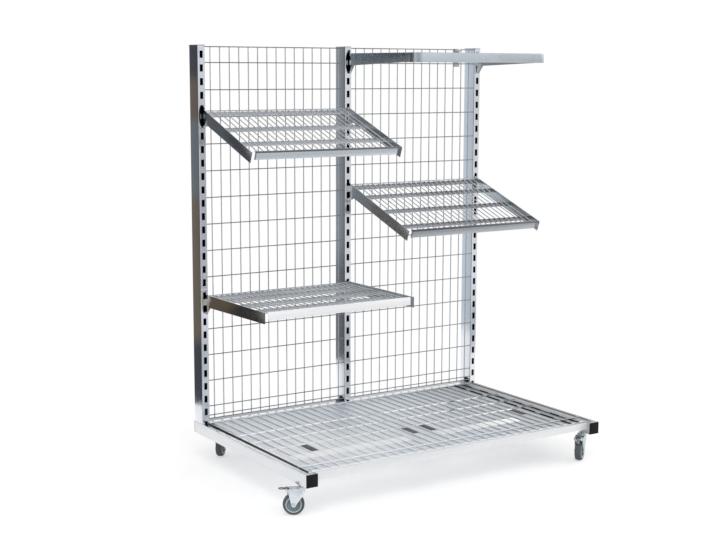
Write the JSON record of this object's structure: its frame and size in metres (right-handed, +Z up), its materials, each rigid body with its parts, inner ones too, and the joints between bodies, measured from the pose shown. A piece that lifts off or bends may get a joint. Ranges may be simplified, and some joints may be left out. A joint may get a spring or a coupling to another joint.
{
  "type": "rolling wire display rack",
  "caption": "Rolling shop display rack with slotted posts, wire back panels, a wire deck, hook-on wire shelves, a hang bar and swivel casters with pedal brakes.",
  "frame": {"origin": "on the floor, below the middle of the whole rack's box with its casters as pictured", "axes": "+Z up, -Y towards the front where the shelves reach out, +X to the right seen from the front"},
  "size_m": [1.3588, 0.883, 1.59],
  "materials": {
    "chrome_post": "bright chrome plate",
    "zinc_cap": "dull zinc plate",
    "black_plastic": "fine moulded grain",
    "chrome_wire": "bright chrome plate",
    "clip_steel": "zinc plate",
    "rail_chrome": "bright chrome plate",
    "arm_chrome": "bright chrome plate",
    "strip_grey": "satin light grey",
    "bar_chrome": "satin chrome plate",
    "fork_zinc": "bright zinc plate",
    "pin_steel": "bright zinc plate",
    "rim_plastic": "moulded grey",
    "tyre_rubber": "matt grey rubber"
  },
  "bodies": {
    "base": {"left_post": "chrome_post", "middle_post": "chrome_post", "right_post": "chrome_post", "post_caps": "zinc_cap", "post_foot_plugs": "black_plastic", "left_back_panel": "chrome_wire", "right_back_panel": "chrome_wire", "panel_clip": "clip_steel", "left_side_rail": "rail_chrome", "right_side_rail": "rail_chrome", "rear_cross_tube": "rail_chrome", "front_cross_tube": "rail_chrome", "middle_rail": "rail_chrome", "rail_end_caps": "black_plastic", "deck_channels": "rail_chrome", "left_deck": "chrome_wire", "right_deck": "chrome_wire", "deck_pads": "black_plastic", "caster_stems": "pin_steel"},
    "upper_shelf": {"upper_shelf_left_arm": "arm_chrome", "upper_shelf_right_arm": "arm_chrome", "upper_shelf_wires": "chrome_wire", "upper_shelf_bars": "arm_chrome", "upper_shelf_strip": "strip_grey"},
    "right_shelf": {"right_shelf_left_arm": "arm_chrome", "right_shelf_right_arm": "arm_chrome", "right_shelf_wires": "chrome_wire", "right_shelf_bars": "arm_chrome", "right_shelf_strip": "strip_grey"},
    "lower_shelf": {"lower_shelf_left_arm": "arm_chrome", "lower_shelf_right_arm": "arm_chrome", "lower_shelf_wires": "chrome_wire", "lower_shelf_bars": "arm_chrome", "lower_shelf_strip": "strip_grey"},
    "hang_rail": {"hang_left_arm": "arm_chrome", "hang_right_arm": "arm_chrome", "hang_bar": "bar_chrome"},
    "front_left_swivel": {"front_left_fork": "fork_zinc", "front_left_pins": "pin_steel"},
    "front_left_wheel": {"front_left_rim": "rim_plastic", "front_left_tyre": "tyre_rubber"},
    "front_left_brake": {"front_left_pedal": "fork_zinc"},
    "front_right_swivel": {"front_right_fork": "fork_zinc", "front_right_pins": "pin_steel"},
    "front_right_wheel": {"front_right_rim": "rim_plastic", "front_right_tyre": "tyre_rubber"},
    "front_right_brake": {"front_right_pedal": "fork_zinc"},
    "rear_left_swivel": {"rear_left_fork": "fork_zinc", "rear_left_axle": "pin_steel"},
    "rear_left_wheel": {"rear_left_rim": "rim_plastic", "rear_left_tyre": "tyre_rubber"},
    "rear_right_swivel": {"rear_right_fork": "fork_zinc", "rear_right_axle": "pin_steel"},
    "rear_right_wheel": {"rear_right_rim": "rim_plastic", "rear_right_tyre": "tyre_rubber"}
  },
  "joints": [
    {"name": "upper_shelf_lift", "type": "slide", "parent": "base", "child": "upper_shelf", "axis": [0, 0, 1], "range_m": [0, 0.01]},
    {"name": "right_shelf_lift", "type": "slide", "parent": "base", "child": "right_shelf", "axis": [0, 0, 1], "range_m": [0, 0.01]},
    {"name": "lower_shelf_lift", "type": "slide", "parent": "base", "child": "lower_shelf", "axis": [0, 0, 1], "range_m": [0, 0.01]},
    {"name": "hang_rail_lift", "type": "slide", "parent": "base", "child": "hang_rail", "axis": [0, 0, 1], "range_m": [0, 0.01]},
    {"name": "front_left_swivel_turn", "type": "hinge", "parent": "base", "child": "front_left_swivel", "pos_m": [-0.60893, -0.37154, 0.1125], "axis": [0, 0, 1], "continuous": true},
    {"name": "front_left_wheel_spin", "type": "hinge", "parent": "front_left_swivel", "child": "front_left_wheel", "pos_m": [-0.63311, -0.35742, 0.0375], "axis": [-0.5045, -0.8634, 0], "continuous": true},
    {"name": "front_left_brake_pedal", "type": "hinge", "parent": "front_left_swivel", "child": "front_left_brake", "pos_m": [-0.65383, -0.34531, 0.0885], "axis": [0.5045, 0.8634, 0], "range_deg": [0, 45]},
    {"name": "front_right_swivel_turn", "type": "hinge", "parent": "base", "child": "front_right_swivel", "pos_m": [0.65607, -0.37154, 0.1125], "axis": [0, 0, 1], "continuous": true},
    {"name": "front_right_wheel_spin", "type": "hinge", "parent": "front_right_swivel", "child": "front_right_wheel", "pos_m": [0.63299, -0.3874, 0.0375], "axis": [0.5664, -0.8241, 0], "continuous": true},
    {"name": "front_right_brake_pedal", "type": "hinge", "parent": "front_right_swivel", "child": "front_right_brake", "pos_m": [0.61321, -0.401, 0.0885], "axis": [-0.5664, 0.8241, 0], "range_deg": [-45, 0]},
    {"name": "rear_left_swivel_turn", "type": "hinge", "parent": "base", "child": "rear_left_swivel", "pos_m": [-0.53943, 0.38646, 0.1125], "axis": [0, 0, 1], "continuous": true},
    {"name": "rear_left_wheel_spin", "type": "hinge", "parent": "rear_left_swivel", "child": "rear_left_wheel", "pos_m": [-0.52051, 0.4071, 0.0375], "axis": [-0.7373, 0.6756, 0], "continuous": true},
    {"name": "rear_right_swivel_turn", "type": "hinge", "parent": "base", "child": "rear_right_swivel", "pos_m": [0.58657, 0.38646, 0.1125], "axis": [0, 0, 1], "continuous": true},
    {"name": "rear_right_wheel_spin", "type": "hinge", "parent": "rear_right_swivel", "child": "rear_right_wheel", "pos_m": [0.60549, 0.4071, 0.0375], "axis": [-0.7373, 0.6756, 0], "continuous": true}
  ]
}
